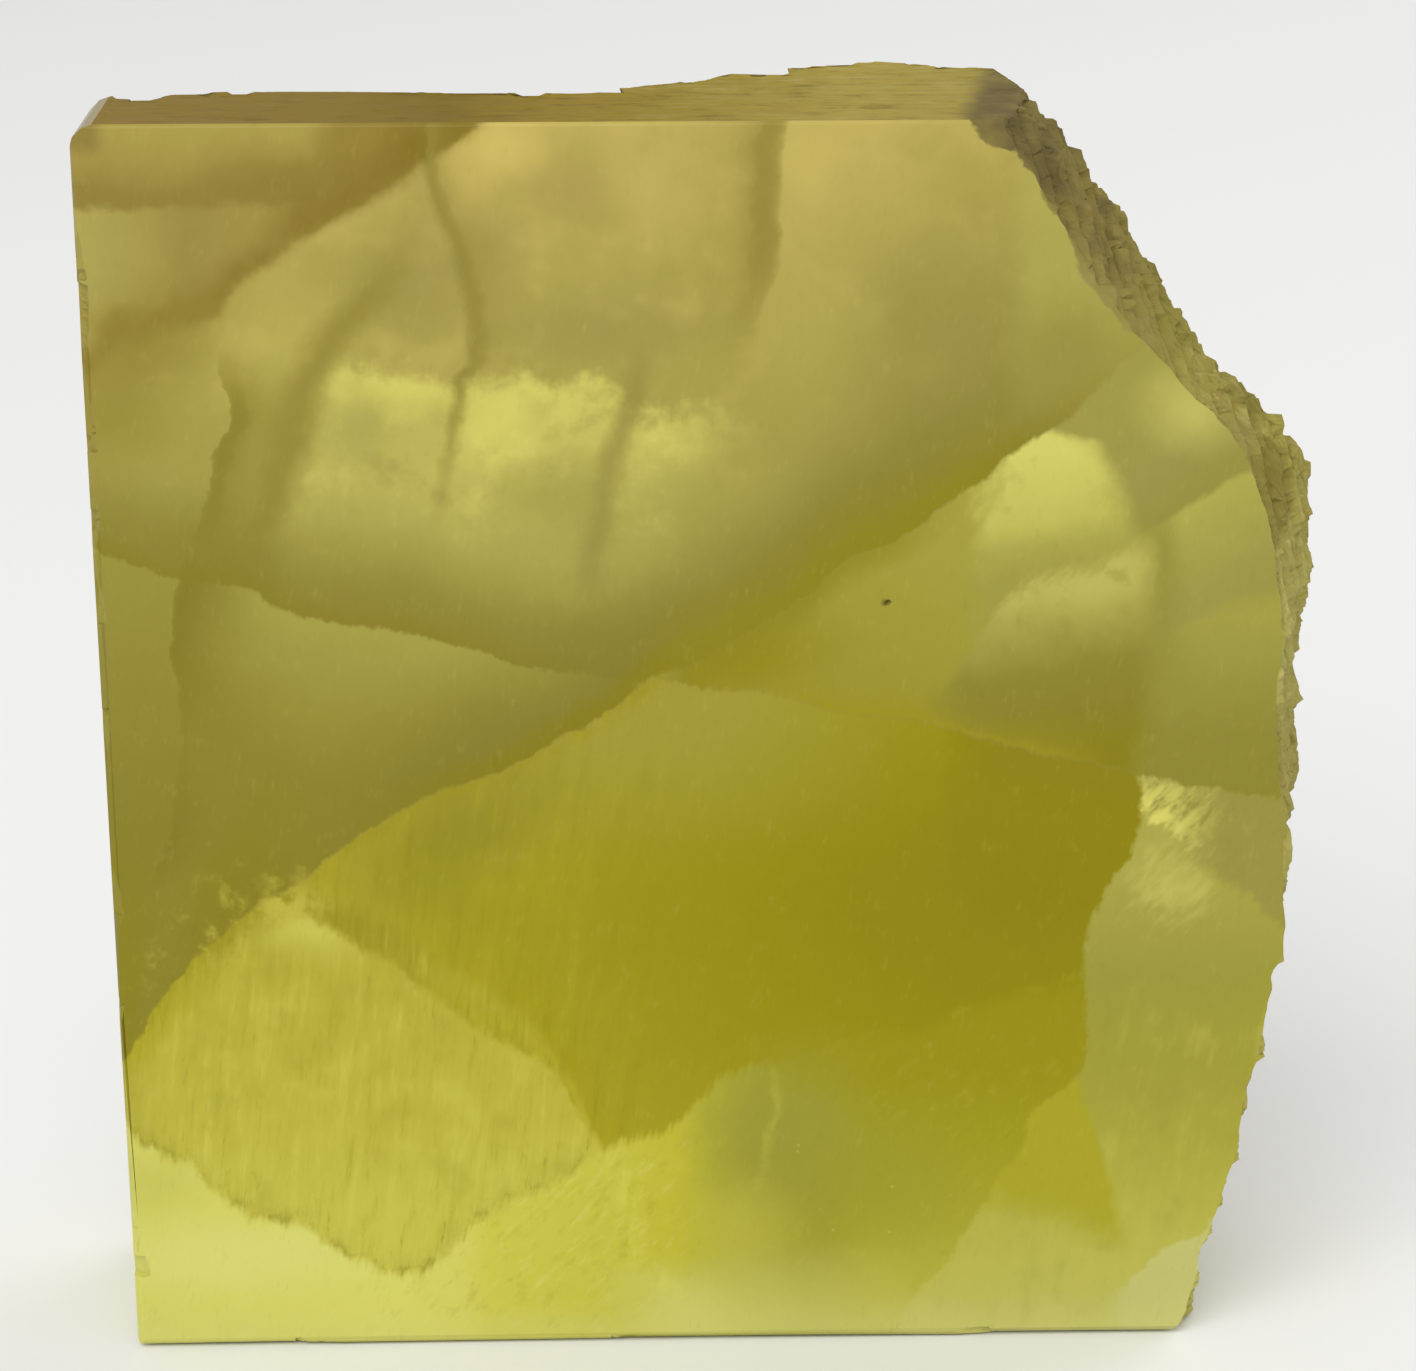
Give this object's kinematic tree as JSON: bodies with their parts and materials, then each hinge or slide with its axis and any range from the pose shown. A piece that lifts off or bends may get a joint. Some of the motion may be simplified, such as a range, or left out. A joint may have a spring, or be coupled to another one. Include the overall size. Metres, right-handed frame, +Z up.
{
  "type": "mineral specimen",
  "caption": "Upright block of lemon calcite with a polished front, sawn top, side and base, and a broken back and right side.",
  "frame": {"origin": "middle of the footprint's bounding box, on the sawn base that the block stands on", "axes": "+Z up; -Y out of the polished face; +X across it, towards the broken side"},
  "size_m": [0.1114, 0.0332, 0.1172],
  "materials": {
    "lemon_calcite": "polished on the sawn faces, rough and slightly waxy where broken; translucent"
  },
  "bodies": {
    "root": {"lemon_calcite_block": "lemon_calcite"}
  },
  "joints": []
}
